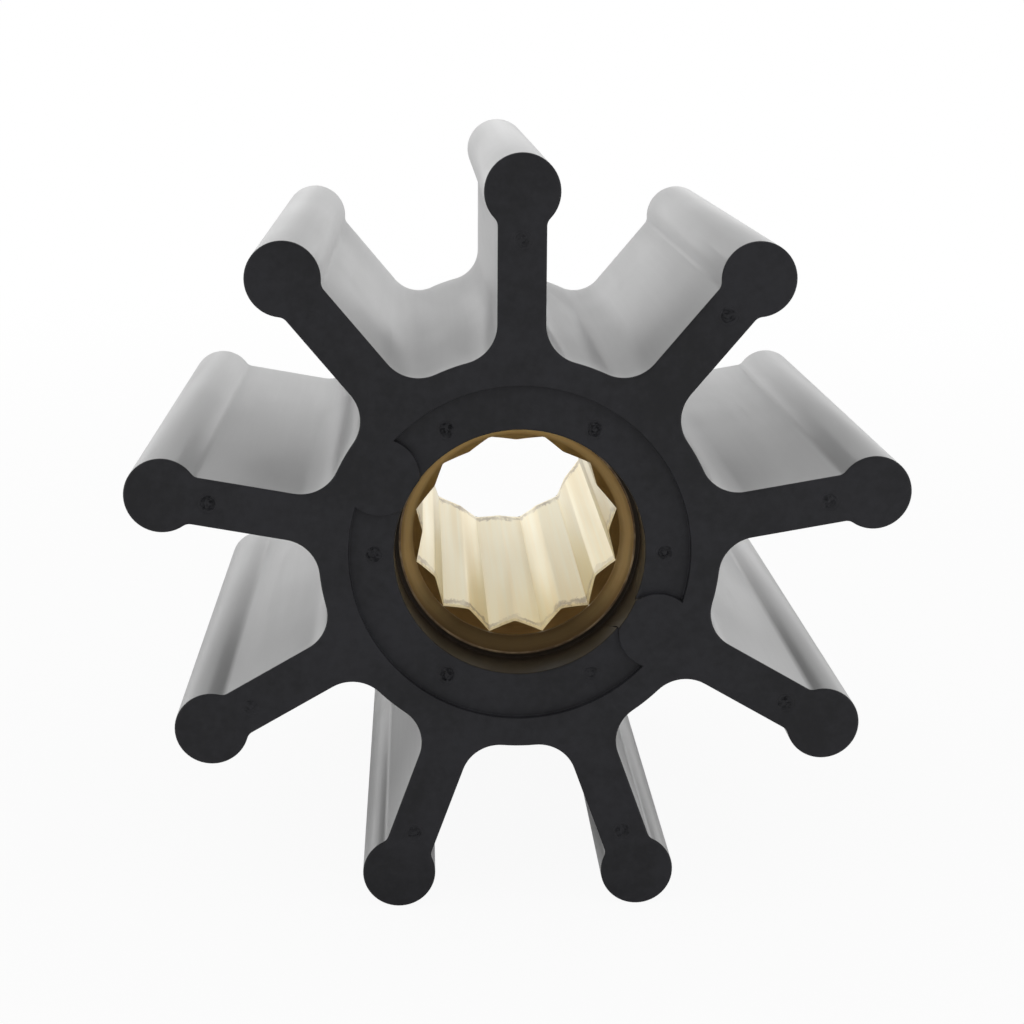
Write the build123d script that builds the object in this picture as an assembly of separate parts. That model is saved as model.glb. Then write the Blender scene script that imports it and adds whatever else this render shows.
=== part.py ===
from build123d import *
import os
from math import cos, radians, sin

# Nine-bladed flexible pump impeller: a moulded rubber body bonded to a splined brass insert.
# All sizes are in millimetres. The bore axis lies along Y, one blade points straight up (+Z),
# and the origin is on the bore axis, half way between the two end faces.

# Driving dimensions of the rubber body
tip_diameter = 95.2            # circle that the blade tips touch
face_width = 81.4              # from end face to end face, along the bore
blade_count = 9
blade_thickness = 5.75
tip_bulb_diameter = 8.94       # round bead that seals each blade against the pump housing
neck_fillet = 2.5              # where a blade's side runs into its bead
root_fillet = 4.7              # where a blade's side runs into the hub
edge_break = 0.3               # softened corner of the mould's edge, round each end face
hub_wall = 8.2                 # rubber between the insert and the valleys between blades
pocket_depth = 7.3             # how far the insert is sunk below each end face
rubber_lip = 0.8               # how far the rubber laps over the edge of the insert's ends

# Driving dimensions of the shallow recess in each end of the hub
recess_land = 3.6              # flush ring left outside the recess
recess_depth = 0.8
pad_count = 2                  # round pads that stay flush and split the recess
pad_diameter = 9.2
pad_inset = 1.3                # from the recess's edge in to a pad's centre
first_pad_angle = 150.0        # degrees from +X towards +Z, seen from the front

# Driving dimensions of the brass insert
spline_tooth_count = 12
spline_root_diameter = 25.6    # across the bottoms of the grooves
spline_tooth_height = 1.2
spline_tip_radius = 1.1        # rounding of each tooth's crest
insert_wall = 3.1              # brass outside the bottoms of the grooves
corner_chamfer = 1.3           # outer corner of the insert's ends, filled by the rubber
end_land = 0.2                 # flat brass left between that chamfer and the mouth
mouth_depth = 2.4              # cone from the rim down to the groove bottoms
tooth_lead_in = 2.0            # further depth of the cone that bevels the teeth's ends
flute_depth = 0.8              # keying flutes in the insert, which the rubber fills
flute_radius = 1.5
plain_band = 9.0               # unfluted length at each end of the insert

# Sizes that follow from those above
tip_radius = tip_diameter / 2
bulb_radius = tip_bulb_diameter / 2
bulb_centre = tip_radius - bulb_radius
blade_side = blade_thickness / 2
spline_root_radius = spline_root_diameter / 2
spline_crest_radius = spline_root_radius - spline_tooth_height
insert_radius = spline_root_radius + insert_wall
insert_length = face_width - 2 * pocket_depth
pocket_radius = insert_radius - rubber_lip
mouth_radius = insert_radius - corner_chamfer - end_land
hub_radius = insert_radius + hub_wall
recess_radius = hub_radius - recess_land
end_face = face_width / 2
insert_end = insert_length / 2
blade_angles = [90 - step * 360 / blade_count for step in range(blade_count)]
tooth_angles = [90 - step * 360 / spline_tooth_count for step in range(spline_tooth_count)]
turned_end_for_end = Rotation(0, 0, 180)


def lies_on_circle(vertex, radius):
    """True if a vertex of the flat outline is at the given distance from the bore axis."""
    return abs(Vector(vertex.X, vertex.Y).length - radius) < 0.01


def blade_outline():
    """One blade seen from the end, pointing along +X: a parallel strip with a round bead."""
    strip = Rectangle(bulb_centre, blade_thickness, align=(Align.MIN, Align.CENTER))
    bead = Pos(bulb_centre, 0) * Circle(bulb_radius)
    return strip + bead


def body_outline():
    """The whole end view: hub and blades in one outline, with filleted roots and necks."""
    outline = Circle(hub_radius)
    for angle in blade_angles:
        outline += Rot(0, 0, angle) * blade_outline()
    neck_distance = bulb_centre - (bulb_radius**2 - blade_side**2) ** 0.5
    neck_circle = Vector(neck_distance, blade_side).length
    roots = [v for v in outline.vertices() if lies_on_circle(v, hub_radius)]
    outline = fillet(roots, root_fillet)
    necks = [v for v in outline.vertices() if lies_on_circle(v, neck_circle)]
    return fillet(necks, neck_fillet)


def moulded_block():
    """The rubber as one solid bar of impeller section, its two outlines slightly softened."""
    block = extrude(Plane.XZ * body_outline(), amount=end_face, both=True)
    rims = block.faces().sort_by(Axis.Y)
    return chamfer(rims[0].edges() + rims[-1].edges(), edge_break)


def front_recess():
    """What the recess removes at the front end, its walls sloping at 45 degrees."""
    floor_y = recess_depth - end_face
    dish = Plane.XZ * Circle(recess_radius)
    dish = extrude(Pos(0, -end_face, 0) * dish, amount=-recess_depth, taper=45)
    pad = Cone(
        pad_diameter / 2 + recess_depth, pad_diameter / 2, recess_depth,
        align=(Align.CENTER, Align.CENTER, Align.MIN),
    )
    pad_plane = Plane(origin=(0, floor_y, 0), x_dir=(1, 0, 0), z_dir=(0, -1, 0))
    for step in range(pad_count):
        place = Rot(0, 0, first_pad_angle + step * 360 / pad_count) * Pos(recess_radius - pad_inset, 0)
        dish -= pad_plane * place * pad
    return dish


def keying_flutes():
    """What is cut from the insert's outside for the rubber to fill, behind each spline tooth."""
    length = insert_length - 2 * plain_band
    bar = extrude(Plane.XZ * Circle(flute_radius), amount=length / 2, both=True)
    bar = Pos(insert_radius - flute_depth + flute_radius, 0, 0) * bar
    return [Rot(0, -angle, 0) * bar for angle in tooth_angles]


def insert_blank():
    """The insert before it is bored: a round bar with chamfered ends and keying flutes."""
    bar = extrude(Plane.XZ * Circle(insert_radius), amount=insert_end, both=True)
    bar = chamfer(bar.edges().filter_by(GeomType.CIRCLE), corner_chamfer)
    return bar - keying_flutes()


def front_pocket():
    """The round pocket that leaves the insert's front end open to the shaft."""
    pocket = extrude(Plane.XZ * Circle(pocket_radius), amount=-pocket_depth)
    return Pos(0, -end_face, 0) * pocket


def rubber_body():
    """Hub and blades moulded round the insert, with a pocket and a recess at each end."""
    front = front_pocket() + front_recess()
    return moulded_block() - [insert_blank(), front, turned_end_for_end * front]


def spline_outline():
    """The bore's end view: straight-flanked grooves between teeth with rounded crests."""
    half_pitch = 180 / spline_tooth_count
    corners = []
    for angle in tooth_angles:
        crest = radians(angle)
        groove = radians(angle - half_pitch)
        corners.append((spline_crest_radius * cos(crest), spline_crest_radius * sin(crest)))
        corners.append((spline_root_radius * cos(groove), spline_root_radius * sin(groove)))
    star = Polygon(*corners, align=None)
    crests = [v for v in star.vertices() if lies_on_circle(v, spline_crest_radius)]
    return fillet(crests, spline_tip_radius)


def front_mouth():
    """What is turned out of the insert's front end: a wide cone, then the teeth's bevel."""
    profile = Polyline(
        (0, -insert_end), (mouth_radius, -insert_end),
        (spline_root_radius, mouth_depth - insert_end),
        (spline_crest_radius, mouth_depth + tooth_lead_in - insert_end),
        (0, mouth_depth + tooth_lead_in - insert_end), close=True,
    )
    return revolve(make_face(profile), Axis.Y)


def brass_insert():
    """A turned brass sleeve, splined inside and fluted outside to hold the rubber."""
    bore = extrude(Plane.XZ * spline_outline(), amount=insert_end, both=True)
    mouth = front_mouth()
    return insert_blank() - [bore, mouth, turned_end_for_end * mouth]


os.makedirs("parts", exist_ok=True)
for node, solid in {"rubber_body": rubber_body(), "brass_insert": brass_insert()}.items():
    export_step(solid, f"parts/{node}.step")
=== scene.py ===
# %% [markdown]
# # A rubber pump impeller
#
# A flexible impeller is one rubber moulding, a thick hub with nine straight blades, bonded to a
# splined brass sleeve. The file loads the solid model as a fixed frame, then dresses it: each
# cell makes one piece or one finish and prints what it made.

# %% Load the frame
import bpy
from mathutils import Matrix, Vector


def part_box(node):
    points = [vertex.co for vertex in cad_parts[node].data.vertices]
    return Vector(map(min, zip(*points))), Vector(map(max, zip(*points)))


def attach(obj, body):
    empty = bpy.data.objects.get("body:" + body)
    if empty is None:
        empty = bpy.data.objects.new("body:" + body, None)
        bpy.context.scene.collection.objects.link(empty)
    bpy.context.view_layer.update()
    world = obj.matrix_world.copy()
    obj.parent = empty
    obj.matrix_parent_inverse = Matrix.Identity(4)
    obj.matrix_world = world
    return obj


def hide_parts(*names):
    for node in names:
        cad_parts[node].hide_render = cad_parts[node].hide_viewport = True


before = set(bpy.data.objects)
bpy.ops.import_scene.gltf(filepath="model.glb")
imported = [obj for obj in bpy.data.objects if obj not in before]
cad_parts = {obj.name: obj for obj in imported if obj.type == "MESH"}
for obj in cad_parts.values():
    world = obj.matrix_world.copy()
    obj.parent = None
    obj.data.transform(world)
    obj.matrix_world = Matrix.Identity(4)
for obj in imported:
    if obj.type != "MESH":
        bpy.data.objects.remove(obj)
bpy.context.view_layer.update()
print("nodes:", sorted(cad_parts))

# %% Modules and units
import math

import bmesh
import bpy
from mathutils import Euler

mm = 0.001
scene = bpy.context.scene


def in_mm(box):
    """A box's two corners in millimetres, for printing."""
    return [[round(c / mm, 2) for c in corner] for corner in box]


# %% [markdown]
# ## The sizes
#
# Blender works in metres, and the impeller is measured in millimetres, so each size is written
# in millimetres and multiplied once. The bore axis is Y, the front end face looks along -Y, and
# +Z runs up along one blade. The solid model's own boxes give the main sizes, so that the dressed
# pieces can't drift away from it. The sizes of the seat are shared, because rubber and brass meet
# there: both pieces are rolled from the same numbers.

# %% Sizes of the impeller
rubber_low, rubber_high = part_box("rubber_body")
sleeve_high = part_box("brass_insert")[1]

seat_sizes = {
    "Sleeve radius": sleeve_high.x,
    "Sleeve end": sleeve_high.y,
    "Sleeve chamfer": 1.3 * mm,
    "Flute radius": 1.5 * mm,
    "Flute depth": 0.8 * mm,
    "Flute end": sleeve_high.y - 9.0 * mm,
    "Tooth count": 12,
}
impeller_sizes = {
    "Blade count": 9,
    "Tip radius": rubber_high.z,
    "Half width": rubber_high.y,
    "Blade thickness": 5.75 * mm,
    "Bead radius": 4.47 * mm,
    "Neck fillet": 1.3 * mm,
    "Root fillet": 4.7 * mm,
    "Edge rounding": 0.3 * mm,
    "Hub radius": 24.1 * mm,
    "Land radius": 21.2 * mm,
    "Recess radius": 20.5 * mm,
    "Recess depth": 0.8 * mm,
    "Pad distance": 19.2 * mm,
    "Pad radius": 4.6 * mm,
    "Pad angle": math.radians(150),
    "Pocket radius": 15.1 * mm,
    "Scar distance": 37.6 * mm,
    "Recess scar distance": 17.5 * mm,
    "Scar patch radius": 1.5 * mm,
    **seat_sizes,
}
sleeve_sizes = {
    "Mouth radius": 14.4 * mm,
    "Mouth depth": 2.4 * mm,
    "Groove radius": 12.8 * mm,
    "Crest radius": 11.6 * mm,
    "Crest rounding": 1.1 * mm,
    "Tooth bevel": 2.0 * mm,
    **seat_sizes,
}
print("rubber's box in mm:", in_mm([rubber_low, rubber_high]))

# %% [markdown]
# ## The camera
#
# It stands in front of the impeller, a little to the left and above, and looks slightly down. A
# long lens keeps the nine blades nearly parallel, while their far ends still draw together.

# %% Camera
camera_data = bpy.data.cameras.new("camera")
camera_data.sensor_width = 36.0
camera_data.lens = 72.398
camera_data.clip_start = 0.01
camera = bpy.data.objects.new("camera", camera_data)
camera.location = (-11.883 * mm, -278.694 * mm, 62.223 * mm)
camera.rotation_euler = Euler([math.radians(a) for a in (76.574, -0.3255, -2.5332)], "XYZ")
scene.collection.objects.link(camera)
scene.camera = camera
scene.view_settings.view_transform = "Standard"
print("camera", round(camera.location.length / mm), "mm from the impeller's centre")

# %% [markdown]
# ## A bench for node trees
#
# A node tree is a recipe: sizes go in, nodes pass them on, and a shape or a finish comes out.
# Drawn by hand, each sum in it is a node. Here a small class lets the sums be written as sums, so
# that `radius - width / 2` makes the two Math nodes it needs.

# %% Numbers that make Math nodes
class Number:
    """A number that flows through a node tree, so plain arithmetic on it adds Math nodes."""

    def __init__(self, bench, socket):
        self.bench, self.socket = bench, socket

    def __add__(self, other):
        return self.bench.math("ADD", self, other)

    def __radd__(self, other):
        return self.bench.math("ADD", other, self)

    def __sub__(self, other):
        return self.bench.math("SUBTRACT", self, other)

    def __rsub__(self, other):
        return self.bench.math("SUBTRACT", other, self)

    def __mul__(self, other):
        return self.bench.math("MULTIPLY", self, other)

    def __rmul__(self, other):
        return self.bench.math("MULTIPLY", other, self)

    def __truediv__(self, other):
        return self.bench.math("DIVIDE", self, other)

    def __rtruediv__(self, other):
        return self.bench.math("DIVIDE", other, self)


# %% The bench
class Bench:
    """Adds nodes to one tree. A value may be a node, a socket, a Number or a constant."""

    def __init__(self, tree):
        self.tree = tree

    def node(self, kind, inputs=(), **settings):
        """A node of this kind. Its inputs go by name, or by number where a name stands twice."""
        made = self.tree.nodes.new(kind)
        for key, value in settings.items():
            setattr(made, key, value)
        for key, value in dict(inputs).items():
            if isinstance(key, int):
                socket = made.inputs[key]
            else:
                socket = next(s for s in made.inputs if s.name == key and s.enabled)
            self.feed(socket, value)
        return made

    def feed(self, socket, value):
        if isinstance(value, Number):
            value = value.socket
        if isinstance(value, bpy.types.Node):
            value = next(s for s in value.outputs if s.enabled)
        if isinstance(value, bpy.types.NodeSocket):
            self.tree.links.new(value, socket)
        else:
            socket.default_value = value

    def number(self, node, output=0):
        return Number(self, node.outputs[output])

    def math(self, operation, *terms):
        return self.number(self.node("ShaderNodeMath", enumerate(terms), operation=operation))

    def vector(self, x, y, z):
        return self.node("ShaderNodeCombineXYZ", {"X": x, "Y": y, "Z": z}).outputs[0]

    def parts(self, vector):
        made = self.node("ShaderNodeSeparateXYZ", {0: vector})
        return [self.number(made, axis) for axis in range(3)]

    def smooth_step(self, value, low, high, to_low=0.0, to_high=1.0):
        """A soft S-shaped change from to_low to to_high, while the value goes from low to high."""
        ends = {"From Min": low, "From Max": high, "To Min": to_low, "To Max": to_high}
        return self.number(self.node(
            "ShaderNodeMapRange", {"Value": value, **ends}, interpolation_type="SMOOTHSTEP"
        ))

    def smooth_line(self, value, low, high):
        """0 at low, 1 at high, and a straight ramp between."""
        return self.math("MINIMUM", self.math("MAXIMUM", (value - low) / (high - low), 0.0), 1.0)

    def noise(self, vector, scale, detail=2.0, roughness=0.5):
        return self.number(self.node(
            "ShaderNodeTexNoise",
            {"Vector": vector, "Scale": scale, "Detail": detail, "Roughness": roughness},
        ))


# %% [markdown]
# ## A bench for shapes
#
# Geometry Nodes suits this object, because its shape follows a rule: one blade outline, turned
# nine times. The bench below adds what shapes need. It gives the tree named inputs for its sizes,
# picks a value by its place in a row, draws a line through given corners, and rolls a flat grid
# up into a turned shape.

# %% The shape bench
class ShapeBench(Bench):
    """A Geometry Nodes tree whose inputs are the sizes of the piece that it makes."""

    def __init__(self, name, sizes):
        super().__init__(bpy.data.node_groups.new(name, "GeometryNodeTree"))
        self.sizes = sizes
        face = self.tree.interface
        face.new_socket("Geometry", in_out="OUTPUT", socket_type="NodeSocketGeometry")
        for label, value in sizes.items():
            kind = "NodeSocketInt" if isinstance(value, int) else "NodeSocketFloat"
            face.new_socket(label, in_out="INPUT", socket_type=kind)
        entry = self.tree.nodes.new("NodeGroupInput")
        self.size = {label: Number(self, entry.outputs[label]) for label in sizes}

    def index(self):
        return self.number(self.node("GeometryNodeInputIndex"))

    def position(self):
        return self.parts(self.node("GeometryNodeInputPosition").outputs[0])

    def around(self, radius, angle, height=0.0):
        """The point at this distance and angle round the Z axis, as a lathe would reach it."""
        return self.vector(
            radius * self.math("COSINE", angle), radius * self.math("SINE", angle), height
        )

    def choose(self, place, values, kind="FLOAT"):
        """The value that stands at the given place in the list."""
        picker = self.node("GeometryNodeIndexSwitch", data_type=kind)
        while len(picker.index_switch_items) < len(values):
            picker.index_switch_items.new()
        self.feed(picker.inputs[0], place)
        for number, value in enumerate(values):
            self.feed(picker.inputs[number + 1], value)
        return picker.outputs[0] if kind == "VECTOR" else self.number(picker)

    def move_to(self, shape, position):
        return self.node("GeometryNodeSetPosition", {"Geometry": shape, "Position": position})

    def polyline(self, corners):
        """An open line through the given corners, each an (x, y) pair."""
        line = self.node("GeometryNodeCurvePrimitiveLine")
        line = self.node("GeometryNodeResampleCurve", {"Curve": line, "Count": len(corners)})
        places = [self.vector(x, y, 0.0) for x, y in corners]
        return self.move_to(line, self.choose(self.index(), places, "VECTOR"))

    def rounded(self, curve, radius, count):
        """The line with its corners rounded, by this many points at each."""
        inputs = {"Curve": curve, "Radius": radius, "Count": count}
        return self.node("GeometryNodeFilletCurve", inputs, mode="POLY")

    def weld(self, shape):
        return self.node("GeometryNodeMergeByDistance", {"Geometry": shape, "Distance": 0.001 * mm})

    def join(self, *shapes):
        made = self.node("GeometryNodeJoinGeometry")
        for shape in shapes:
            self.feed(made.inputs[0], shape)
        return made

    def painted(self, shape, material, selection=True):
        """Gives faces the material where the selection is true at most of their corners."""
        if isinstance(selection, Number):
            selection = self.node(
                "GeometryNodeFieldOnDomain", {"Value": selection}, data_type="FLOAT", domain="POINT"
            )
            selection = self.math("GREATER_THAN", self.number(selection), 0.5)
        inputs = {"Geometry": shape, "Selection": selection, "Material": material}
        return self.node("GeometryNodeSetMaterial", inputs)

    def creased(self, shape, degrees):
        """Shades the shape smooth, but keeps each edge that turns by more than this sharp."""
        turn = self.number(self.node("GeometryNodeInputMeshEdgeAngle"))
        sharp = self.math("GREATER_THAN", turn, math.radians(degrees))
        return self.node(
            "GeometryNodeSetShadeSmooth",
            {"Geometry": shape, "Selection": sharp, "Shade Smooth": False}, domain="EDGE",
        )

    def grid(self, rows, columns):
        """A flat net of points, with each point's row and column."""
        net = self.node("GeometryNodeMeshGrid", {"Vertices X": columns, "Vertices Y": rows})
        column = self.math("FLOOR", (self.index() + 0.5) / rows)
        return net, self.index() - column * rows, column


# %% Turning a tree into a plain mesh
def make_piece(name, bench, shape):
    """Runs the tree once, keeps its result as a closed mesh and drops the modifier."""
    # Shapes are rolled about Z, where the sums are short. This turn lays the bore along Y.
    turned = bench.node(
        "GeometryNodeTransform", {"Geometry": shape, "Rotation": (math.pi / 2, 0.0, 0.0)}
    )
    leave = bench.tree.nodes.new("NodeGroupOutput")
    bench.feed(leave.inputs[0], bench.node("GeometryNodeRealizeInstances", {"Geometry": turned}))
    piece = bpy.data.objects.new(name, bpy.data.meshes.new(name + "_blank"))
    scene.collection.objects.link(piece)
    modifier = piece.modifiers.new(name, "NODES")
    modifier.node_group = bench.tree
    for item in bench.tree.interface.items_tree:
        if item.in_out == "INPUT":
            modifier[item.identifier] = bench.sizes[item.name]
    evaluated = piece.evaluated_get(bpy.context.evaluated_depsgraph_get())
    mesh = bpy.data.meshes.new_from_object(evaluated)
    mesh.name = name
    piece.modifiers.remove(modifier)
    piece.data = mesh
    report_mesh(piece)
    return piece


def report_mesh(piece):
    """Turns every face outwards and prints how sound the mesh is."""
    work = bmesh.new()
    work.from_mesh(piece.data)
    bmesh.ops.recalc_face_normals(work, faces=work.faces)
    open_edges = sum(1 for e in work.edges if not e.is_manifold)
    triangles = sum(len(f.verts) - 2 for f in work.faces)
    volume = work.calc_volume(signed=True)
    work.to_mesh(piece.data)
    work.free()
    print(f"{piece.name}: {triangles} triangles, {open_edges} open edges, {volume * 1e9:.0f} mm3")


# %% [markdown]
# ## Finishes
#
# The rubber is one black compound, but the mould gives it different skins. The blades' sides come
# off polished steel with a thin waxy bloom, so they are black from the side and turn pale grey at
# a low angle. A high specular level would do that too, but it would shine from every side. The
# shader's two thin layers, a coat and a sheen, are strongest at low angles alone, so they do it
# here. Noise stretched along the bore stands for wiping marks in colour, gloss and coat.

# %% Helpers for every finish
def new_finish(name):
    """A material with its bench and its Principled shader."""
    material = bpy.data.materials.new(name)
    material.use_nodes = True
    bench = Bench(material.node_tree)
    return material, bench, material.node_tree.nodes["Principled BSDF"]


def object_place(bench, stretch=(1.0, 1.0, 1.0)):
    """The point on the piece, in metres, stretched to draw a pattern out along an axis."""
    place = bench.node("ShaderNodeTexCoord").outputs["Object"]
    return bench.node("ShaderNodeMapping", {"Vector": place, "Scale": stretch}).outputs[0]


def relief(bench, shader, *layers):
    """Stacks bump layers, each a height field with its depth in metres, onto the shader."""
    normal = None
    for height, depth in layers:
        inputs = {"Height": height, "Distance": depth, "Strength": 1.0}
        if normal is not None:
            inputs["Normal"] = normal
        normal = bench.node("ShaderNodeBump", inputs).outputs[0]
    bench.feed(shader.inputs["Normal"], normal)


def blend(bench, share, low, high):
    """A colour between two, each given as three numbers or taken from another node."""
    low, high = ((*colour, 1.0) if isinstance(colour, tuple) else colour for colour in (low, high))
    # A Mix node has inputs for each kind of data: 6 and 7 are its two colours, output 2 the result.
    mixed = bench.node("ShaderNodeMix", {"Factor": share, 6: low, 7: high}, data_type="RGBA")
    return mixed.outputs[2]


# %% Rubber of the blades' sides
def residue_share(bench):
    """How much chalky mould release clings: some, in the far half of the gap by one low blade."""
    gap_angle, half_gap, line = math.radians(-129), math.radians(19), 9.0 * mm
    x, y, z = bench.parts(object_place(bench))
    ragged = (bench.noise(object_place(bench), 260.0, 3.0, 0.6) - 0.5) * 5.0 * mm
    along = bench.smooth_step(y + ragged, line, line + 1.5 * mm)
    from_gap = bench.math("ABSOLUTE", bench.math("ARCTAN2", z, x) - gap_angle)
    in_gap = bench.math("LESS_THAN", from_gap, half_gap)
    patches = bench.noise(object_place(bench, (1.0, 0.4, 1.0)), 420.0, 3.0)
    mottle = bench.smooth_step(patches, 0.35, 0.60, 0.35, 1.0)
    return along * in_gap * mottle


satin_rubber, bench, shader = new_finish("satin_rubber")
cloud = bench.noise(object_place(bench), 70.0, 1.0)
wipe = bench.noise(object_place(bench, (1.0, 0.02, 1.0)), 900.0, 2.0)
weave = bench.noise(object_place(bench, (1.0, 0.15, 1.0)), 420.0, 3.0)
residue = residue_share(bench)
skin = blend(bench, wipe * 0.5 + weave * 0.5, (0.014, 0.014, 0.0142), (0.032, 0.032, 0.0325))
bench.feed(shader.inputs["Base Color"], blend(bench, residue, skin, (0.24, 0.24, 0.23)))
gloss = bench.smooth_step(cloud * 0.4 + wipe * 0.3 + weave * 0.3, 0.3, 0.7, 0.29, 0.39)
bench.feed(shader.inputs["Roughness"], gloss + residue * 0.3)
coat = bench.smooth_step(weave * 0.6 + wipe * 0.4, 0.35, 0.65, 0.72, 1.0)
bench.feed(shader.inputs["Coat Weight"], coat)
shader.inputs["IOR"].default_value = 1.45
shader.inputs["Coat IOR"].default_value = 1.45
shader.inputs["Coat Roughness"].default_value = 0.22
shader.inputs["Sheen Weight"].default_value = 1.0
shader.inputs["Sheen Roughness"].default_value = 0.54
relief(bench, shader, (cloud, 0.03 * mm), (wipe, 0.004 * mm))
print("finish:", satin_rubber.name)

# %% [markdown]
# The end faces come off a matt plate and stay nearly black. The pocket is as dark, and its brown
# tint is a painted reflection of the brass beside it. One function makes both: a cloudy tint, a
# weak gloss and a fine grain in the bump, each set by its own numbers.

# %% Rubber of the end faces and of the pocket
def dark_rubber(name, tints, gloss, specular, grain_depth):
    """A dark finish between two tints and two roughnesses, with a fine grain."""
    material, bench, shader = new_finish(name)
    cloud = bench.noise(object_place(bench), 75.0, 6.0, 0.62)
    speck = bench.noise(object_place(bench), 900.0, 2.0)
    shade = bench.smooth_step(cloud * 0.75 + speck * 0.25, 0.34, 0.66)
    bench.feed(shader.inputs["Base Color"], blend(bench, shade, *tints))
    bench.feed(shader.inputs["Roughness"], bench.smooth_step(cloud, 0.3, 0.7, *gloss))
    shader.inputs["Specular IOR Level"].default_value = specular
    grain = bench.noise(object_place(bench), 2600.0, 3.0, 0.6)
    relief(bench, shader, (cloud, 0.06 * mm * grain_depth), (grain, 0.006 * mm * grain_depth))
    print("finish:", name)
    return material


matt_rubber = dark_rubber(
    "matt_rubber", tints=((0.0095, 0.0095, 0.0118), (0.0235, 0.0235, 0.0280)),
    gloss=(0.50, 0.62), specular=0.35, grain_depth=1.0,
)
# The brown of the pocket's tints is a painted reflection of the brass beside it.
pocket_rubber = dark_rubber(
    "pocket_rubber", tints=((0.0180, 0.0135, 0.0095), (0.0400, 0.0300, 0.0210)),
    gloss=(0.28, 0.36), specular=0.08, grain_depth=0.05,
)

# %% [markdown]
# The sleeve is brass, turned at its mouth and broached inside. Turning leaves fine rings round
# the axis and broaching leaves straight lines along it, so each gets its own relief, from noise
# that is squeezed along one axis. Wear and tarnish could be painted by hand. Here they follow
# from where a point lies: how far down the bore and how far from its axis. How low a point lies
# sets a painted shade, darker towards the bottom of the mouth's cone.

# %% Brass
def worn_edge(bench, colour):
    """Dull scuffs where the shaft has rubbed the teeth, in a ragged line beside each end."""
    depth = bench.number(bench.node("ShaderNodeAttribute", attribute_name="from_mouth"), "Fac")
    ragged = bench.noise(object_place(bench, (1.0, 0.35, 1.0)), 800.0, 4.0, 0.7) - 0.5
    patches = bench.noise(object_place(bench, (1.0, 0.1, 1.0)), 330.0, 1.0)
    patchy = bench.smooth_step(patches, 0.35, 0.65, 0.35, 1.0)
    from_line = bench.math("ABSOLUTE", depth + ragged * 7.0 * mm - 1.9 * mm)
    share = bench.smooth_step(from_line, 0.2 * mm, 1.6 * mm, 0.75, 0.0) * patchy
    return blend(bench, share, colour, (0.34, 0.27, 0.20))


def ring_tarnish_and_shade(bench, colour):
    """Brown tarnish along both edges of the mouth's cone, and a painted shade that darkens it
    towards the bottom.
    """
    x, _, z = bench.parts(object_place(bench))
    patchy = (bench.noise(object_place(bench), 240.0, 3.0, 0.6) - 0.5) * 0.5 * mm
    radius = bench.math("SQRT", x * x + z * z) + patchy
    inner = bench.smooth_step(radius, 12.9 * mm, 13.5 * mm, 0.45, 0.0)
    outer = bench.smooth_step(radius, 13.8 * mm, 14.4 * mm, 0.0, 0.6)
    rimmed = blend(bench, inner + outer, colour, (0.33, 0.17, 0.07))
    # Painted shade: the cone turns darker brown towards its bottom, in place of the shade that
    # falls there.
    painted_low_shade = bench.smooth_step(z + patchy * 4.0, -12.0 * mm, -2.0 * mm, 0.85, 0.0)
    return blend(bench, painted_low_shade, rimmed, (0.09, 0.065, 0.036))


def brass_finish(
    name, tarnish_scale, scratch_scale, scratch_depth, gloss, colours, marks=None, metal=1.0
):
    """Brass between two colours and two roughnesses, scratched along one axis, with its marks."""
    material, bench, shader = new_finish(name)
    tarnish = bench.noise(object_place(bench, tarnish_scale), 1.0, 3.0, 0.55)
    scratch = bench.noise(object_place(bench, scratch_scale), 1.0, 2.0)
    share = bench.smooth_step(tarnish * 0.6 + scratch * 0.4, 0.35, 0.65)
    colour = blend(bench, share, *colours)
    if marks:
        colour = marks(bench, colour)
    bench.feed(shader.inputs["Base Color"], colour)
    bench.feed(shader.inputs["Roughness"], bench.smooth_step(tarnish, 0.3, 0.8, *gloss))
    shader.inputs["Metallic"].default_value = metal
    relief(bench, shader, (scratch, scratch_depth))
    print("finish:", name)
    return material


even, rings = (160.0, 160.0, 160.0), (300.0, 5000.0, 300.0)
turned_brass = brass_finish(
    "turned_brass", tarnish_scale=even, scratch_scale=rings, scratch_depth=0.002 * mm,
    gloss=(0.32, 0.40), colours=((1.0, 0.765, 0.39), (0.93, 0.675, 0.32)),
    marks=ring_tarnish_and_shade, metal=0.68,
)
rim_brass = brass_finish(
    "rim_brass", tarnish_scale=even, scratch_scale=(900.0, 900.0, 900.0),
    scratch_depth=0.003 * mm, gloss=(0.45, 0.60), colours=((0.30, 0.22, 0.13), (0.12, 0.08, 0.05)),
)
# The teeth's bevels get a darker copy of the brass, a painted shade for the dark that they mirror.
tooth_brass = brass_finish(
    "tooth_end_brass", tarnish_scale=even, scratch_scale=rings, scratch_depth=0.002 * mm,
    gloss=(0.28, 0.36), colours=((0.62, 0.46, 0.27), (0.50, 0.35, 0.19)),
)
broached_brass = brass_finish(
    "broached_brass", tarnish_scale=(300.0, 12.0, 300.0), scratch_scale=(1800.0, 8.0, 1800.0),
    scratch_depth=0.0006 * mm, gloss=(0.33, 0.41), colours=((1.0, 0.93, 0.70), (1.0, 0.875, 0.60)),
    marks=worn_edge,
)

# %% [markdown]
# ## The impeller's outline
#
# Seen from the end, each blade is a parallel strip with a round bead at its tip, and small
# fillets where strip meets bead and hub. Such an outline could be a Boolean of circles and strips.
# Fillet Curve does it with fewer points and exact tangents: nine corners per blade, each the
# crossing of two tangents, are rounded by the radius of the arc that belongs there. Every arc here
# turns less than half a circle, so the bead takes four corners.

# %% Corners of one blade
bead_corners = 4
corners_per_blade = bead_corners + 5
valley_points, root_points, neck_points, bead_points = 5, 14, 9, 11


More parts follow.
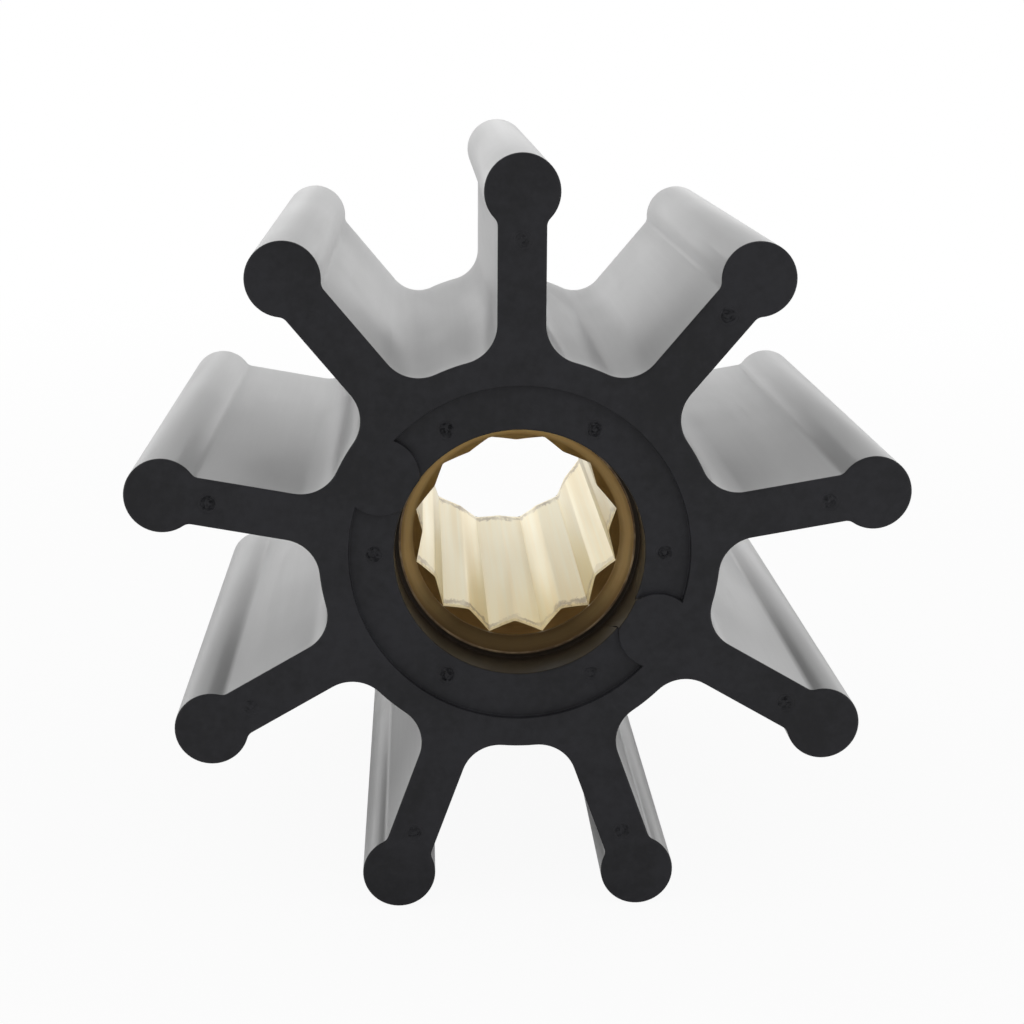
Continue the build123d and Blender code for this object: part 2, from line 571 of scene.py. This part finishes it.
def blade_corners(bench):
    """Places along and beside the blade, radii and point counts of one blade's corners."""
    size = bench.size
    side, bead, hub = size["Blade thickness"] / 2, size["Bead radius"], size["Hub radius"]
    neck, root = size["Neck fillet"], size["Root fillet"]
    bead_centre = size["Tip radius"] - bead

    half_sector = math.pi / size["Blade count"]
    root_angle = bench.math("ARCSINE", (side + root) / (hub + root))
    valley_distance = hub / bench.math("COSINE", half_sector - root_angle)
    valley = (
        valley_distance * bench.math("COSINE", half_sector),
        valley_distance * bench.math("SINE", half_sector) * -1.0,
    )
    root_along = (hub - side * bench.math("SINE", root_angle)) / bench.math("COSINE", root_angle)

    neck_angle = bench.math("ARCSINE", (side + neck) / (bead + neck))
    neck_drop = bead - side * bench.math("SINE", neck_angle)
    neck_along = bead_centre - neck_drop / bench.math("COSINE", neck_angle)

    step = (2 * math.pi - 2 * neck_angle) / bead_corners
    reach = bead / bench.math("COSINE", step / 2)
    beads = []
    for number in range(bead_corners):
        turn = neck_angle + step * (number + 0.5)
        beads.append((
            bead_centre - reach * bench.math("COSINE", turn),
            reach * bench.math("SINE", turn) * -1.0,
        ))

    places = [
        valley, (root_along, side * -1.0), (neck_along, side * -1.0),
        *beads, (neck_along, side), (root_along, side),
    ]
    radii = [hub, root, neck, *[bead] * bead_corners, neck, root]
    bead_counts = [bead_points] * bead_corners
    counts = [valley_points, root_points, neck_points, *bead_counts, neck_points, root_points]
    return places, radii, counts


def impeller_outline(bench):
    """The closed outline of hub and blades, in the XY plane."""
    places, radii, counts = blade_corners(bench)
    place = bench.index()
    blade = bench.math("FLOOR", (place + 0.5) / corners_per_blade)
    corner = place - blade * corners_per_blade
    angle = math.pi / 2 + blade * (2 * math.pi / bench.size["Blade count"])
    along = bench.choose(corner, [p[0] for p in places])
    beside = bench.choose(corner, [p[1] for p in places])
    cosine, sine = bench.math("COSINE", angle), bench.math("SINE", angle)
    ring = bench.node(
        "GeometryNodeCurvePrimitiveCircle",
        {"Resolution": bench.size["Blade count"] * corners_per_blade, "Radius": 1.0},
    )
    ring = bench.move_to(ring, bench.vector(
        along * cosine - beside * sine, along * sine + beside * cosine, 0.0
    ))
    ring = bench.rounded(ring, bench.choose(corner, radii), bench.choose(corner, counts, "INT"))
    wire = bench.weld(bench.node("GeometryNodeCurveToMesh", {"Curve": ring}))
    return bench.node("GeometryNodeMeshToCurve", {"Mesh": wire})


# %% [markdown]
# ## The blades' sides
#
# Swept along the outline, one short section makes every side surface at once. The section is a
# line as long as the impeller is wide, with a quarter turn at each end, because the mould's edge
# is never quite sharp. That thin rounding lies in the end plate, so it gets the plate's matt skin.

# %% Side surface
def side_surface(bench, outline):
    """The skin of blades and valleys from end to end, with its thin roundings."""
    half, rounding = bench.size["Half width"], bench.size["Edge rounding"]
    inset = rounding * -1.0
    quarter_points = 5
    section = bench.polyline([(inset, half), (0.0, half), (0.0, half * -1.0), (inset, half * -1.0)])
    section = bench.rounded(section, rounding, quarter_points)
    section = bench.weld(bench.node("GeometryNodeCurveToMesh", {"Curve": section}))
    section = bench.node("GeometryNodeMeshToCurve", {"Mesh": section})
    swept = bench.node("GeometryNodeCurveToMesh", {"Curve": outline, "Profile Curve": section})
    height = bench.math("ABSOLUTE", bench.position()[2])
    on_edge = bench.math("GREATER_THAN", height, half - rounding * 0.75)
    return bench.painted(bench.painted(swept, satin_rubber), matt_rubber, on_edge)


# %% [markdown]
# ## Scars of the mould
#
# Rubber is injected through small round gates in the mould's end plate, and each gate tears off
# with a ragged little crater inside a faint ring. There is one on each blade and six round the
# bore. Images or decals could show them, but a height that depends on the distance from the gate
# is real relief, and noise makes each crater different.

# %% Relief of one gate scar
blade_scars = [0.5, 0.15, 0.8, 0.45, 0.55, 0.55, 0.6, 0.6, 0.7]
hub_scars = [0.7, 0.85, 0.85, 0.85, 0.85, 0.5]
hub_scar_pitch = 2 * math.pi / len(hub_scars)


def scar_strength(bench, angle, strengths):
    """How deeply the gate nearest this angle tore, from a list that runs round the axis."""
    pitch = 2 * math.pi / len(strengths)
    number = bench.math("ROUND", bench.math("WRAP", angle, 2 * math.pi, 0.0) / pitch)
    return bench.choose(bench.math("MODULO", number, float(len(strengths))), strengths)


def scar_height(bench, distance, place, strength):
    """Height near a gate, in metres: a ragged groove round a torn middle, in a faint ring."""
    ragged = bench.noise(place, 1300.0, 2.0, 0.6) - 0.5
    from_groove = bench.math("ABSOLUTE", distance + ragged * 0.55 * mm - 0.60 * mm)
    groove = bench.smooth_step(from_groove, 0.08 * mm, 0.38 * mm, 1.0, 0.0)
    middle = bench.smooth_step(distance, 0.30 * mm, 0.62 * mm, 1.0, 0.0)
    torn = bench.smooth_step(bench.noise(place, 1700.0, 1.0), 0.36, 0.66)
    from_ring = bench.math("ABSOLUTE", distance - 1.12 * mm)
    ring = bench.smooth_step(from_ring, 0.0, 0.18 * mm, 1.0, 0.0)
    depth = groove * (0.16 * mm + torn * 0.26 * mm) + middle * torn * 0.22 * mm + ring * 0.07 * mm
    return depth * strength * -1.0


# %% [markdown]
# A scar on a blade needs finer mesh than the flat face round it. So the face gets a round hole at
# each gate, and a small net of rings, with as many points round its rim as the hole, is set in.

# %% Patches for the blades' scars
patch_columns = 40
patch_rows = 16


def scar_points(bench):
    """One point on each blade's centre line, at the distance of its gate."""
    size = bench.size
    ring = bench.node(
        "GeometryNodeMeshCircle", {"Vertices": size["Blade count"], "Radius": size["Scar distance"]}
    )
    return bench.node(
        "GeometryNodeTransform", {"Geometry": ring, "Rotation": (0.0, 0.0, math.pi / 2)}
    )


def at_scars(bench, shape):
    """A copy of the shape at each of those points."""
    copies = bench.node(
        "GeometryNodeInstanceOnPoints", {"Points": scar_points(bench), "Instance": shape}
    )
    return bench.node("GeometryNodeRealizeInstances", {"Geometry": copies})


def scar_patches(bench):
    """Round nets that fill the holes in the end face. Each point knows how far its gate is."""
    net, row, column = bench.grid(patch_rows, patch_columns + 1)
    radius = bench.size["Scar patch radius"] * (1.0 - row / (patch_rows - 1))
    angle = column * (2 * math.pi / patch_columns)
    disc = bench.move_to(net, bench.around(radius, angle))
    disc = bench.node("GeometryNodeStoreNamedAttribute", {
        "Geometry": disc, "Name": "scar_distance", "Value": radius
    })
    return at_scars(bench, disc)


# %% [markdown]
# ## The end faces
#
# Each end face is flat from the outline's rounded edge in to the hub. Fill Curve spans it: it
# takes the rim that the side surface ends in as its outer line, and the scars' circles and the
# hub's circle as holes. Points on both sides of each seam coincide, so a weld closes them.

# %% Flat end faces
hub_columns = 480
column_turn = 2 * math.pi / hub_columns
crowding = 0.11


def crowded(bench, angle):
    """Draws the hub's columns together near its scars, where the relief is finest."""
    return angle - crowding * bench.math("SINE", angle * float(len(hub_scars)))


def circle(bench, resolution, radius):
    return bench.node(
        "GeometryNodeCurvePrimitiveCircle", {"Resolution": resolution, "Radius": radius}
    )


def flat_face(bench, sides):
    """The flat face between the blades' outline, the hub's circle and the scars' holes."""
    edge_faces = bench.number(bench.node("GeometryNodeInputMeshEdgeNeighbors"))
    is_open = bench.math("COMPARE", edge_faces, 1.0, 0.1)
    in_front = bench.math("GREATER_THAN", bench.position()[2], 0.0)
    rim = bench.node("GeometryNodeMeshToCurve", {"Mesh": sides, "Selection": is_open * in_front})
    angle = crowded(bench, bench.index() * column_turn)
    hub = bench.move_to(
        circle(bench, hub_columns, 1.0), bench.around(bench.size["Land radius"], angle)
    )
    holes = at_scars(bench, circle(bench, patch_columns, bench.size["Scar patch radius"]))
    face = bench.node("GeometryNodeFillCurve", {"Curve": bench.join(rim, hub, holes)})
    return bench.node("GeometryNodeSetShadeSmooth", {"Geometry": face, "Shade Smooth": False})


def end_faces(bench, sides):
    """The flat face and its scars, once for each end, with a different tear at each gate."""
    flat, patches = flat_face(bench, sides), scar_patches(bench)
    distance = bench.number(
        bench.node("GeometryNodeInputNamedAttribute", {"Name": "scar_distance"})
    )
    x, y, _ = bench.position()
    strength = scar_strength(bench, bench.math("ARCTAN2", y, x) - math.pi / 2, blade_scars)
    ends = []
    for side in (1.0, -1.0):
        scar = scar_height(bench, distance, bench.vector(x, y, side), strength)
        pressed = bench.node("GeometryNodeSetPosition", {
            "Geometry": patches, "Offset": bench.vector(0.0, 0.0, scar * side)
        })
        level = bench.vector(0.0, 0.0, bench.size["Half width"] * side)
        ends.append(bench.node("GeometryNodeTransform", {
            "Geometry": bench.join(flat, pressed), "Translation": level
        }))
    return bench.painted(bench.join(*ends), matt_rubber)


# %% [markdown]
# ## The hub
#
# From the flat face in, the hub is turned: a shallow recess, a round pocket and the seat of the
# sleeve. A flat net of rows and columns, rolled round the axis, makes it. Each row has a radius
# and a height, and rows repeat in mirror order for the far end. Two round pads split the recess.
# A net can't show their edges unless it has lines there, so near a pad the columns bend: at each
# radius they move to where the pad's circle crosses it, which keeps the edge crisp.

# %% Columns that follow the pads
edge_shares = [0.0, 0.03, 0.12, 0.88, 0.97, 1.0, 1.0]
edge_steps = len(edge_shares) - 1
edge_width = 0.24 * mm
pad_turn = 12 * column_turn
edge_turn = edge_steps * column_turn
free_turn = 27 * column_turn


def pad_columns(bench, seen, radius):
    """How far a column bends at this radius, and its share of the recess's depth."""
    size = bench.size
    turn = bench.math("WRAP", seen - size["Pad angle"], math.pi / 2, -math.pi / 2)
    away = bench.math("ABSOLUTE", turn)
    reach, distance = size["Pad radius"], size["Pad distance"]
    cosine = (radius * radius + distance * distance - reach * reach) / (2 * radius * distance)
    pad_edge = bench.math("ARCCOSINE", bench.math("MINIMUM", cosine, 1.0))
    foot = pad_edge + edge_width / radius
    half_pitch = hub_scar_pitch / 2
    straight = crowded(bench, away + half_pitch) - half_pitch
    rest = crowded(bench, free_turn + half_pitch) - half_pitch
    bent = pad_edge * bench.smooth_line(away, 0.0, pad_turn)
    bent = bent + (foot - pad_edge) * bench.smooth_line(away, pad_turn, pad_turn + edge_turn)
    bent = bent + (rest - foot) * bench.smooth_line(away, pad_turn + edge_turn, free_turn)
    near = bench.math("LESS_THAN", away, free_turn)
    step = bench.math("ROUND", bench.smooth_line(away, pad_turn, pad_turn + edge_turn) * edge_steps)
    share = bench.choose(step, edge_shares)
    return bench.math("SIGN", turn) * (bent - straight) * near, share


# %% [markdown]
# Rubber and brass meet at the seat, which shows nowhere, yet both meshes have it, so that neither
# has a gap or a hollow there. Twelve shallow flutes in the brass keep the rubber from turning. One
# function gives the radius of both, so they fit by construction.

# %% Flutes that key the rubber to the sleeve
def fluted_radius(bench, angle):
    """Radius of the seat between rubber and brass: round, with a shallow flute at each tooth."""
    size = bench.size
    seat, flute = size["Sleeve radius"], size["Flute radius"]
    turn = bench.math("PINGPONG", angle - math.pi / 2, math.pi / size["Tooth count"])
    axis_radius = seat - size["Flute depth"] + flute
    beside = axis_radius * bench.math("SINE", turn)
    under_root = flute * flute - beside * beside
    reach = bench.math("SQRT", bench.math("MAXIMUM", under_root, 0.0))
    dip = bench.math("MINIMUM", axis_radius * bench.math("COSINE", turn) - reach - seat, 0.0)
    return seat + dip * bench.math("GREATER_THAN", under_root, 0.0)


# %% [markdown]
# The net's rows stand close where the shape is fine: at the recess's edge, where seven of them
# share its fall, and across the ring of scars, every tenth of a millimetre. Between them a few
# rows are enough.

# %% Rows of the hub
edge_offsets = [0.10, 0.06, 0.02, 0.0, -0.04, -0.10, -0.22]
scar_offsets = [2.4, 1.9, 1.5, *[step / 10 for step in range(12, -13, -1)], -1.6]


def hub_rows(size):
    """Radius, height and share of the recess's depth of each row, from the land to the seat."""
    half, pocket, rounding = size["Half width"], size["Pocket radius"], size["Edge rounding"]
    floor, seat, chamfer = size["Sleeve end"], size["Sleeve radius"], size["Sleeve chamfer"]
    recess, scar = size["Recess radius"], size["Recess scar distance"]
    rows = [(size["Land radius"], half, 0.0)]
    rows += [(recess + step * mm, half, share) for step, share in zip(edge_offsets, edge_shares)]
    rows += [(scar + step * mm, half, 1.0) for step in scar_offsets]
    for degrees in (0.0, 22.5, 45.0, 67.5, 90.0):
        out, down = 1 - math.sin(math.radians(degrees)), 1 - math.cos(math.radians(degrees))
        rows.append((pocket + rounding * out, half - rounding * down, 1.0))
    corner = 0.15 * mm
    rows += [(pocket, floor + corner * 2, 1.0), (pocket, floor + corner, 1.0)]
    rows += [(pocket - corner * 0.3, floor + corner * 0.3, 1.0), (pocket - corner, floor, 1.0)]
    rows += [(seat - chamfer, floor, 1.0), (seat, floor - chamfer, 1.0)]
    rows += [(seat, size["Flute end"], 1.0)]
    return rows


# %% Hub surface
def hub_surface(bench):
    """Land, recess, pads, scars, pocket and seat of both ends, in one rolled net."""
    size = bench.size
    rows = hub_rows(size)
    half_rows = len(rows) + 1
    net, row, column = bench.grid(2 * half_rows, hub_columns + 1)
    from_end = bench.math("MINIMUM", row, 2 * half_rows - 1 - row)
    side = bench.math("SIGN", half_rows - 0.5 - row)
    raw = column * column_turn
    angle = crowded(bench, raw)
    radius = bench.choose(from_end, [r for r, z, d in rows] + [fluted_radius(bench, angle)])
    height = bench.choose(from_end, [z for r, z, d in rows] + [size["Flute end"]])
    row_share = bench.choose(from_end, [d for r, z, d in rows] + [1.0])

    seen = bench.math("MULTIPLY_ADD", raw, side, (1.0 - side) * (math.pi / 2))
    bend, column_share = pad_columns(bench, seen, radius)
    fade = bench.smooth_line(height, size["Sleeve end"], size["Half width"] - size["Edge rounding"])
    fade = fade * bench.math("LESS_THAN", radius, size["Land radius"] - 0.01 * mm)
    angle = angle + bend * fade * side

    reach = size["Recess scar distance"]
    fold = bench.math("PINGPONG", angle, hub_scar_pitch / 2)
    gap = radius * radius + reach * reach - 2 * radius * reach * bench.math("COSINE", fold)
    gap = bench.math("SQRT", bench.math("MAXIMUM", gap, 0.0))
    place = bench.around(radius, angle, side)
    scar = scar_height(bench, gap, place, scar_strength(bench, angle, hub_scars))
    depth = size["Recess depth"] * bench.math("MINIMUM", row_share, column_share)
    height = height + (scar - depth) * fade
    surface = bench.move_to(net, bench.around(radius, angle, height * side))
    surface = bench.painted(surface, pocket_rubber)
    on_face = bench.math("GREATER_THAN", radius, size["Pocket radius"] + 0.001 * mm)
    on_face = on_face * bench.math("GREATER_THAN", height, size["Sleeve end"] + 1.0 * mm)
    surface = bench.painted(surface, matt_rubber, on_face)
    return bench.creased(surface, 40)


# %% [markdown]
# Sides, end faces and hub were made apart, but a moulding is one skin. Joined, their edges only
# lie on each other. The weld makes one point of each pair, and the count of open edges that is
# printed has to be 0.

# %% The rubber moulding
bench = ShapeBench("rubber_impeller_tree", impeller_sizes)
sides = side_surface(bench, impeller_outline(bench))
body = bench.weld(bench.join(sides, end_faces(bench, sides), hub_surface(bench)))
rubber = make_piece("rubber_impeller", bench, body)
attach(rubber, "root")
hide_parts("rubber_body")

# %% [markdown]
# ## The splined sleeve
#
# The sleeve is turned outside and at its mouth, and broached inside: twelve low teeth with
# straight flanks and slightly round crests. A Boolean could cut star from tube. A net of rows and
# columns does it more exactly, because a column keeps its angle through the whole loop, from the
# outer wall over the rim and down the bore. Where the mouth's cone meets the star, the row
# simply stands at the depth at which both have the same radius.

# %% Radius of the star-shaped bore
columns_per_tooth = 36


def star_radius(bench, angle):
    """Radius of the bore: a straight flank from groove to crest, and an arc over the crest."""
    size = bench.size
    crest, groove, rounding = size["Crest radius"], size["Groove radius"], size["Crest rounding"]
    half_pitch = math.pi / size["Tooth count"]
    turn = bench.math("PINGPONG", angle - math.pi / 2, half_pitch)
    flank = crest * groove * bench.math("SINE", half_pitch) / (
        groove * bench.math("SINE", half_pitch - turn) + crest * bench.math("SINE", turn)
    )
    rise = groove * bench.math("COSINE", half_pitch) - crest
    lean = bench.math("ARCTAN2", rise, groove * bench.math("SINE", half_pitch))
    centre = crest + rounding / bench.math("COSINE", lean)
    beside = centre * bench.math("SINE", turn)
    arc = centre * bench.math("COSINE", turn) - bench.math(
        "SQRT", bench.math("MAXIMUM", rounding * rounding - beside * beside, 0.0)
    )
    tangent_turn = bench.math(
        "ARCTAN2", rounding * bench.math("SINE", lean),
        crest + rounding * bench.math("SINE", lean) * bench.math("TANGENT", lean),
    )
    on_arc = bench.math("LESS_THAN", turn, tangent_turn)
    return flank + (arc - flank) * on_arc


# %% Rows and columns of the sleeve
bench = ShapeBench("brass_sleeve_tree", sleeve_sizes)
size = bench.size
half_rows = 12
rim_row, tooth_row, bore_row = 6, 8, 9
tooth_columns = size["Tooth count"] * columns_per_tooth
net, row, column = bench.grid(2 * half_rows + 1, tooth_columns + 1)
row = bench.math("MODULO", row, 2 * half_rows)
from_seat = bench.math("MINIMUM", row, 2 * half_rows - 1 - row)
side = bench.math("SIGN", half_rows - 0.5 - row)
angle = column * (2 * math.pi / tooth_columns)
print("sleeve:", half_rows, "rows from the middle of the seat to the bore, at each end")

# %% [markdown]
# The list below is half of the loop: radius and height of each row, from the seat up to the rim,
# over its slightly broken edge, down the cone and its small step, along the bevel of the teeth
# and into the bore. Each stretch of it gets a finish of its own, and the bevel's darker brass is a
# painted shade for the dark that it mirrors.

# %% The sleeve
end, seat, chamfer = size["Sleeve end"], size["Sleeve radius"], size["Sleeve chamfer"]
mouth, groove = size["Mouth radius"], size["Groove radius"]
break_edge, step_depth, lead, hair = 0.07 * mm, 0.45 * mm, 0.08 * mm, 0.01 * mm
wear_depth, plain_depth = 0.9 * mm, 6.0 * mm
mouth_floor = end - size["Mouth depth"]
star = star_radius(bench, angle)
share_up = (groove - star) / (groove - size["Crest radius"])
crossing = mouth_floor - step_depth - size["Tooth bevel"] * share_up
wall = [
    (fluted_radius(bench, angle), size["Flute end"]),
    (seat, size["Flute end"]),
    (seat, end - chamfer),
    (seat - chamfer, end),
    (mouth + break_edge * 1.4, end),
    (mouth + break_edge * 0.4, end - break_edge * 0.3),
    (mouth - break_edge * 0.7, end - break_edge),
    (groove + lead + 2 * hair, mouth_floor),
    (groove + lead + hair, mouth_floor - step_depth),
    (star + lead, crossing),
    (star, crossing - wear_depth),
    (star, crossing - plain_depth),
]
from_mouth = [0.0] * (half_rows - 2) + [wear_depth, plain_depth]
radius = bench.choose(from_seat, [r for r, z in wall])
height = bench.choose(from_seat, [z for r, z in wall])
tube = bench.move_to(net, bench.around(radius, angle, height * side))
tube = bench.node("GeometryNodeStoreNamedAttribute", {
    "Geometry": tube, "Name": "from_mouth", "Value": bench.choose(from_seat, from_mouth)
})
tube = bench.painted(tube, turned_brass)
tube = bench.painted(tube, rim_brass, bench.math("LESS_THAN", from_seat, rim_row + 0.5))
tube = bench.painted(tube, tooth_brass, bench.math("GREATER_THAN", from_seat, tooth_row - 0.5))
tube = bench.painted(tube, broached_brass, bench.math("GREATER_THAN", from_seat, bore_row - 0.5))
tube = bench.creased(bench.weld(tube), 18)
sleeve = make_piece("brass_sleeve", bench, tube)
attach(sleeve, "root")
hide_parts("brass_insert")

# %% [markdown]
# ## Floor and light
#
# The impeller lies on its two lowest blades, on a plain pale floor. The studio could be lit by
# lamps, but a world that shines from all round gives the softest light with the least noise. It
# is brightest near the horizon, which the sides mirror at a low angle, and dim behind the camera,
# so the end face stays dark. To the camera it is plain white. The floor shines by itself, nearly
# white to the camera and less to reflections, and takes what is left from the light, so that a
# trace of the impeller's soft shadow stays.

# %% Floor
floor_level = rubber_low.z - 0.02 * mm
floor_reach = 4.0
corners = [(x * floor_reach, y * floor_reach) for x, y in ((-1, -1), (1, -1), (1, 1), (-1, 1))]
floor_mesh = bpy.data.meshes.new("floor")
floor_mesh.from_pydata([(x, y, floor_level) for x, y in corners], [], [(0, 1, 2, 3)])
floor = bpy.data.objects.new("floor", floor_mesh)
scene.collection.objects.link(floor)

floor_material, bench, shader = new_finish("pale_floor")
shader.inputs["Base Color"].default_value = (0.80, 0.80, 0.80, 1.0)
shader.inputs["Roughness"].default_value = 0.9
shader.inputs["Specular IOR Level"].default_value = 0.0
glow = bench.node("ShaderNodeEmission", {"Color": (1.0, 1.0, 1.0, 1.0), "Strength": 1.0})
x, y, _ = bench.parts(object_place(bench))
away = bench.math("SQRT", x * x + y * y)
rays = bench.node("ShaderNodeLightPath")
seen = bench.number(rays, "Is Camera Ray") * bench.smooth_step(away, 0.10, 0.60, 0.94, 1.0)
mirrored = bench.number(rays, "Is Glossy Ray") * bench.smooth_step(away, 0.12, 0.40, 0.30, 1.0)
mixed = bench.node("ShaderNodeMixShader", {0: seen + mirrored, 1: shader.outputs[0], 2: glow})
bench.feed(floor_material.node_tree.nodes["Material Output"].inputs["Surface"], mixed)
floor_mesh.materials.append(floor_material)
print("floor at", round(floor_level / mm, 2), "mm")

# %% Studio light
world = bpy.data.worlds.new("studio")
world.use_nodes = True
scene.world = world
bench = Bench(world.node_tree)
background = world.node_tree.nodes["Background"]
behind_camera, near_horizon, high_up = 0.25, 1.42, 0.75
_, ahead, up = bench.parts(bench.node("ShaderNodeTexCoord").outputs["Generated"])
room = bench.smooth_step(ahead, -0.98, -0.55, behind_camera, 1.0)
light = room * bench.smooth_step(up, 0.0, 0.30, near_horizon, high_up)
camera_ray = bench.number(bench.node("ShaderNodeLightPath"), "Is Camera Ray")
bench.feed(background.inputs["Strength"], light + (1.0 - light) * camera_ray)
background.inputs["Color"].default_value = (1.0, 1.0, 1.0, 1.0)
print("studio light ready")
